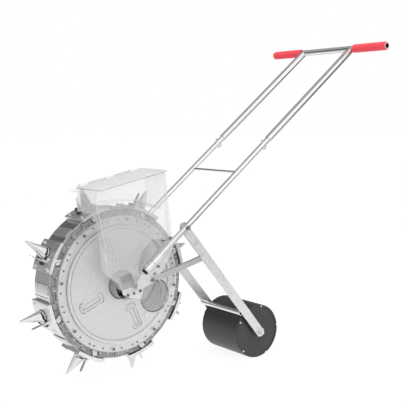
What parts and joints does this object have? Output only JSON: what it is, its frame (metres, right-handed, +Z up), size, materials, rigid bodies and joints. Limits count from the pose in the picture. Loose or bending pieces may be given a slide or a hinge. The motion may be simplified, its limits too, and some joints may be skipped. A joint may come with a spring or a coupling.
{
  "type": "push seeder",
  "caption": "Hand-pushed duckbill drum seeder with a clear side hopper, a rear covering roller on two arms and a telescopic two-tube handle with foam grips.",
  "frame": {"origin": "middle of the bounding box at ground level", "axes": "+Z up, -X the direction of travel with the handle at +X, Y along the drum's axle with the hopper chute on the -Y side"},
  "size_m": [1.2006, 0.5562, 1.0547],
  "materials": {
    "galvanised": "zinc coated sheet, fine spangle",
    "stainless": "bright rolled sheet",
    "chrome_tube": "polished tube",
    "dark_steel": "plated fasteners, slightly dull",
    "clear_sheet": "clear, slightly smoky, glossy",
    "black_plastic": "semi matt moulded",
    "red_foam": "soft foam, matt"
  },
  "bodies": {
    "frame": {"inlet_collar": "clear_sheet", "outlet_plate": "dark_steel", "lower_tube_near": "chrome_tube", "tube_plug_near": "black_plastic", "stop_bolt_near": "dark_steel", "lower_tube_far": "chrome_tube", "tube_plug_far": "black_plastic", "stop_bolt_far": "dark_steel", "cross_brace": "stainless", "socket_sleeve_near": "galvanised", "socket_sleeve_far": "galvanised", "near_strap": "stainless", "far_strap": "stainless", "stub_axle": "dark_steel", "near_stay": "galvanised", "far_stay": "galvanised", "roller_arm_near": "galvanised", "arm_bolt_near": "dark_steel", "roller_arm_far": "galvanised", "arm_bolt_far": "dark_steel", "tie_tube": "galvanised", "roller_axle": "stainless", "hopper": "clear_sheet", "lid_pin": "stainless"},
    "drum": {"near_side_disc": "galvanised", "inspection_window": "clear_sheet", "far_side_disc": "galvanised", "metering_ring": "clear_sheet", "drum_shell": "stainless", "drum_hub": "dark_steel", "inlet_bushing": "black_plastic", "bill_seat_1": "galvanised", "bill_seat_2": "galvanised", "bill_seat_3": "galvanised", "bill_seat_4": "galvanised", "bill_seat_5": "galvanised", "bill_seat_6": "galvanised", "bill_seat_7": "galvanised", "bill_seat_8": "galvanised"},
    "roller": {"roller_shell": "black_plastic", "roller_cap_near": "black_plastic", "roller_cap_far": "black_plastic"},
    "lid": {"hopper_lid": "clear_sheet"},
    "handle": {"upper_handle": "chrome_tube", "grip_near": "red_foam", "grip_far": "red_foam"},
    "jaw_1": {"bill_jaw_1": "stainless"},
    "jaw_2": {"bill_jaw_2": "stainless"},
    "jaw_3": {"bill_jaw_3": "stainless"},
    "jaw_4": {"bill_jaw_4": "stainless"},
    "jaw_5": {"bill_jaw_5": "stainless"},
    "jaw_6": {"bill_jaw_6": "stainless"},
    "jaw_7": {"bill_jaw_7": "stainless"},
    "jaw_8": {"bill_jaw_8": "stainless"}
  },
  "joints": [
    {"name": "drum_spin", "type": "hinge", "parent": "frame", "child": "drum", "pos_m": [-0.30398, 0.03485, 0.29633], "axis": [0, 1, 0], "continuous": true},
    {"name": "jaw_open_1", "type": "hinge", "parent": "drum", "child": "jaw_1", "pos_m": [-0.07591, 0.04285, 0.3958], "axis": [0, -1, 0], "range_deg": [0, 14], "stiffness_Nm_per_rad": 0.6, "springref_deg": -6.88},
    {"name": "jaw_open_2", "type": "hinge", "parent": "drum", "child": "jaw_2", "pos_m": [-0.21305, 0.04285, 0.52793], "axis": [0, -1, 0], "range_deg": [0, 14], "stiffness_Nm_per_rad": 0.6, "springref_deg": -6.88},
    {"name": "jaw_open_3", "type": "hinge", "parent": "drum", "child": "jaw_3", "pos_m": [-0.40345, 0.04285, 0.52439], "axis": [0, -1, 0], "range_deg": [0, 14], "stiffness_Nm_per_rad": 0.6, "springref_deg": -6.88},
    {"name": "jaw_open_4", "type": "hinge", "parent": "drum", "child": "jaw_4", "pos_m": [-0.53558, 0.04285, 0.38725], "axis": [0, -1, 0], "range_deg": [0, 14], "stiffness_Nm_per_rad": 0.6, "springref_deg": -6.88},
    {"name": "jaw_open_5", "type": "hinge", "parent": "drum", "child": "jaw_5", "pos_m": [-0.53204, 0.04285, 0.19685], "axis": [0, -1, 0], "range_deg": [0, 14], "stiffness_Nm_per_rad": 0.6, "springref_deg": -6.88},
    {"name": "jaw_open_6", "type": "hinge", "parent": "drum", "child": "jaw_6", "pos_m": [-0.39491, 0.04285, 0.06472], "axis": [0, -1, 0], "range_deg": [0, 14], "stiffness_Nm_per_rad": 0.6, "springref_deg": -6.88},
    {"name": "jaw_open_7", "type": "hinge", "parent": "drum", "child": "jaw_7", "pos_m": [-0.20451, 0.04285, 0.06826], "axis": [0, -1, 0], "range_deg": [0, 14], "stiffness_Nm_per_rad": 0.6, "springref_deg": -6.88},
    {"name": "jaw_open_8", "type": "hinge", "parent": "drum", "child": "jaw_8", "pos_m": [-0.07237, 0.04285, 0.2054], "axis": [0, -1, 0], "range_deg": [0, 14], "stiffness_Nm_per_rad": 0.6, "springref_deg": -6.88},
    {"name": "roller_spin", "type": "hinge", "parent": "frame", "child": "roller", "pos_m": [0.18032, 0, 0.09014], "axis": [0, 1, 0], "continuous": true},
    {"name": "lid_hinge", "type": "hinge", "parent": "frame", "child": "lid", "pos_m": [-0.30459, 0.04085, 0.61968], "axis": [-0.9789, 0, -0.2045], "range_deg": [0, 100]},
    {"name": "handle_slide", "type": "slide", "parent": "frame", "child": "handle", "axis": [0.7806, 0, 0.625], "range_m": [-0.01, 0.08]}
  ]
}
